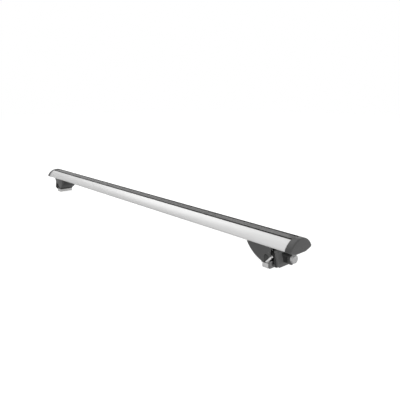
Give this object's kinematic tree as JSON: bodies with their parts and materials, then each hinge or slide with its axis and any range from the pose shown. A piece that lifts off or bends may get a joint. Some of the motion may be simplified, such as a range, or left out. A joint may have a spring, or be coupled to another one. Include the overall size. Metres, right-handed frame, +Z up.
{
  "type": "roof rack crossbar",
  "caption": "Aerofoil aluminium crossbar with a rubber strip and end caps, on two feet whose screw-tightened jaws clamp a raised roof rail.",
  "frame": {"origin": "middle of the ground under the feet, halfway along the bar", "axes": "+X along the bar to its right end, +Y along the car, +Z up"},
  "size_m": [1.2, 0.073, 0.0804],
  "materials": {
    "anodised_aluminium": "satin anodised",
    "strip_rubber": "ribbed matt rubber",
    "cap_plastic": "fine-grained moulding",
    "shell_plastic": "fine-grained moulding",
    "coated_jaw": "black coating",
    "block_plastic": "smooth moulding",
    "black_rubber": "matt rubber",
    "grey_rubber": "matt rubber",
    "bright_steel": "brushed steel",
    "zinc_plate": "bright zinc plate"
  },
  "bodies": {
    "bar": {"bar_extrusion": "anodised_aluminium", "top_rubber_strip": "strip_rubber", "end_cap_left": "cap_plastic", "end_cap_right": "cap_plastic"},
    "foot_left": {"foot_shell_left": "shell_plastic", "carrier_left": "bright_steel", "saddle_pad_left": "black_rubber", "slot_bolts_left": "zinc_plate", "slot_washers_left": "zinc_plate", "slot_nuts_left": "zinc_plate", "inner_jaw_left": "bright_steel", "inner_pad_left": "grey_rubber", "jaw_screws_left": "zinc_plate", "cross_nut_left": "zinc_plate"},
    "jaw_left": {"outer_jaw_left": "coated_jaw", "jaw_lining_left": "black_rubber", "thrust_block_left": "block_plastic", "washer_left": "zinc_plate"},
    "bolt_left": {"clamp_bolt_left": "zinc_plate"},
    "foot_right": {"foot_shell_right": "shell_plastic", "carrier_right": "bright_steel", "saddle_pad_right": "black_rubber", "slot_bolts_right": "zinc_plate", "slot_washers_right": "zinc_plate", "slot_nuts_right": "zinc_plate", "inner_jaw_right": "bright_steel", "inner_pad_right": "grey_rubber", "jaw_screws_right": "zinc_plate", "cross_nut_right": "zinc_plate"},
    "jaw_right": {"outer_jaw_right": "coated_jaw", "jaw_lining_right": "black_rubber", "thrust_block_right": "block_plastic", "washer_right": "zinc_plate"},
    "bolt_right": {"clamp_bolt_right": "zinc_plate"}
  },
  "joints": [
    {"name": "foot_left_slide", "type": "slide", "parent": "bar", "child": "foot_left", "axis": [-1, 0, 0], "range_m": [-0.15, 0.03]},
    {"name": "jaw_left_slide", "type": "slide", "parent": "foot_left", "child": "jaw_left", "axis": [-1, 0, 0], "range_m": [0, 0.02]},
    {"name": "bolt_left_turn", "type": "hinge", "parent": "jaw_left", "child": "bolt_left", "pos_m": [-0.579, 0, 0.03], "axis": [-1, 0, 0], "range_deg": [0, 5761]},
    {"name": "foot_right_slide", "type": "slide", "parent": "bar", "child": "foot_right", "axis": [1, 0, 0], "range_m": [-0.15, 0.03]},
    {"name": "jaw_right_slide", "type": "slide", "parent": "foot_right", "child": "jaw_right", "axis": [1, 0, 0], "range_m": [0, 0.02]},
    {"name": "bolt_right_turn", "type": "hinge", "parent": "jaw_right", "child": "bolt_right", "pos_m": [0.579, 0, 0.03], "axis": [1, 0, 0], "range_deg": [0, 5761]}
  ],
  "couplings": [
    {"joint": "bolt_left_turn", "follows": "jaw_left_slide", "rad_per_m": 5026.5},
    {"joint": "bolt_right_turn", "follows": "jaw_right_slide", "rad_per_m": 5026.5}
  ]
}
